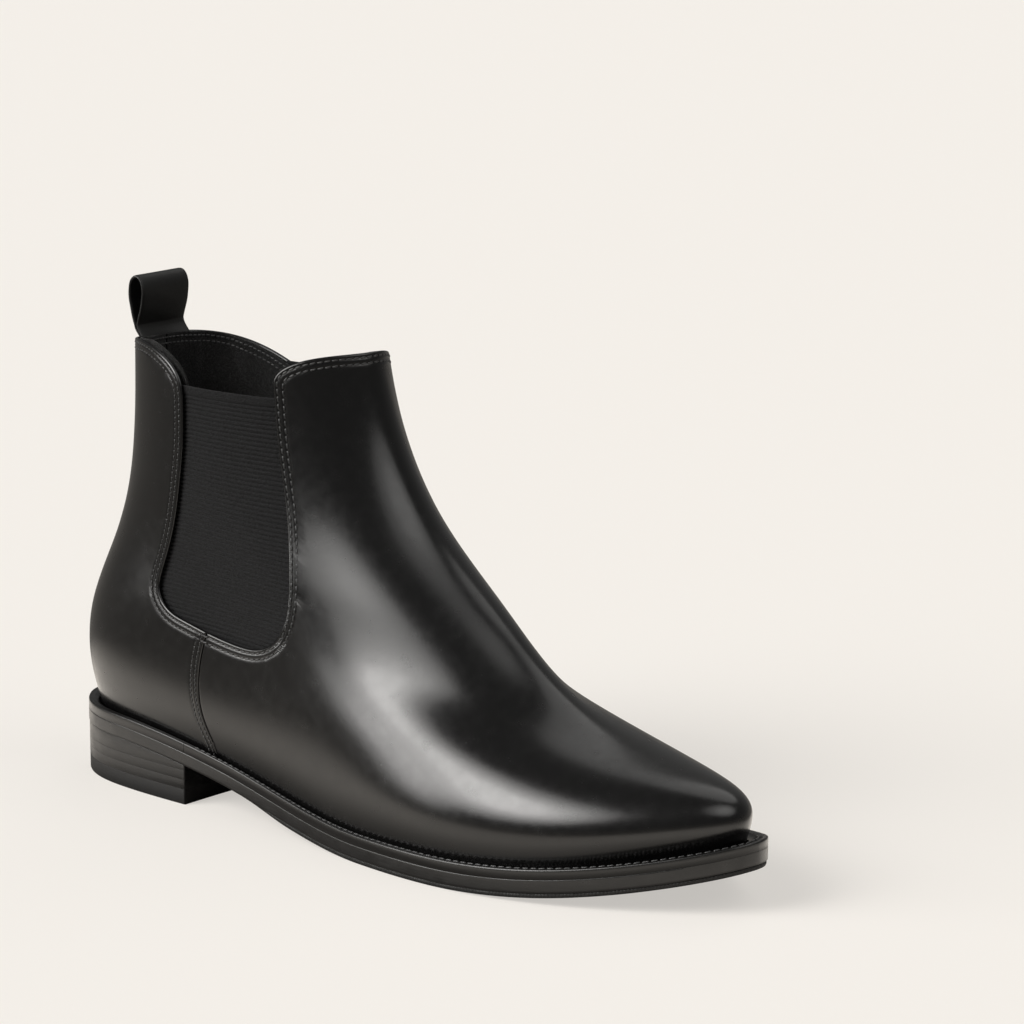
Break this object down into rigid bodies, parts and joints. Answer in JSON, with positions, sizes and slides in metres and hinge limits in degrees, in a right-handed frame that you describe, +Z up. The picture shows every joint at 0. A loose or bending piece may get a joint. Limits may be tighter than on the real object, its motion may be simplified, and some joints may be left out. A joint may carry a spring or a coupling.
{
  "type": "chelsea boot",
  "caption": "Ankle boot with smooth leather upper, elastic side gores, a pull loop at the back of the collar, stitched welt, curved sole and low stacked heel.",
  "frame": {"origin": "on the ground, under the middle of the boot's length and width", "axes": "+X along the foot to the toe, +Y to the inner side of the right foot, +Z up"},
  "size_m": [0.305, 0.1035, 0.1845],
  "materials": {
    "black_calf": "polished",
    "black_lining": "matt",
    "black_elastic": "ribbed",
    "black_tape": "woven",
    "black_thread": "satin",
    "black_welt": "satin",
    "stacked_leather": "waxed",
    "black_rubber": "matt",
    "fibreboard": "matt",
    "cork": "matt",
    "stiffener": "matt",
    "steel": "satin"
  },
  "bodies": {
    "boot": {"vamp": "black_calf", "quarter_lateral": "black_calf", "quarter_medial": "black_calf", "back_strip": "black_calf", "vamp_lining": "black_lining", "quarter_lining_lateral": "black_lining", "quarter_lining_medial": "black_lining", "sock_liner": "black_lining", "gore_lateral": "black_elastic", "gore_medial": "black_elastic", "pull_loop_sewn_ends": "black_tape", "vamp_stitching_lateral_1": "black_thread", "vamp_stitching_lateral_2": "black_thread", "vamp_stitching_medial_1": "black_thread", "vamp_stitching_medial_2": "black_thread", "quarter_stitching_lateral_1": "black_thread", "quarter_stitching_lateral_2": "black_thread", "quarter_stitching_medial_1": "black_thread", "quarter_stitching_medial_2": "black_thread", "side_seam_stitching_lateral_1": "black_thread", "side_seam_stitching_lateral_2": "black_thread", "side_seam_stitching_medial_1": "black_thread", "side_seam_stitching_medial_2": "black_thread", "welt_stitching": "black_thread", "welt": "black_welt", "heel_seat_rand": "black_welt", "outsole": "stacked_leather", "heel_lift_1": "stacked_leather", "heel_lift_2": "stacked_leather", "heel_lift_3": "stacked_leather", "forefoot_rubber": "black_rubber", "heel_top_piece": "black_rubber", "insole": "fibreboard", "cork_filler": "cork", "heel_counter": "stiffener", "toe_puff": "stiffener", "shank": "steel", "heel_nail_1": "steel", "heel_nail_2": "steel", "heel_nail_3": "steel", "heel_nail_4": "steel", "heel_nail_5": "steel"},
    "loop": {"pull_loop": "black_tape"}
  },
  "joints": [
    {"name": "pull_loop_flex", "type": "hinge", "parent": "boot", "child": "loop", "pos_m": [-0.1239, -0.0016, 0.1644], "axis": [0, -1, 0], "range_deg": [-20, 75], "stiffness_Nm_per_rad": 0.01}
  ]
}
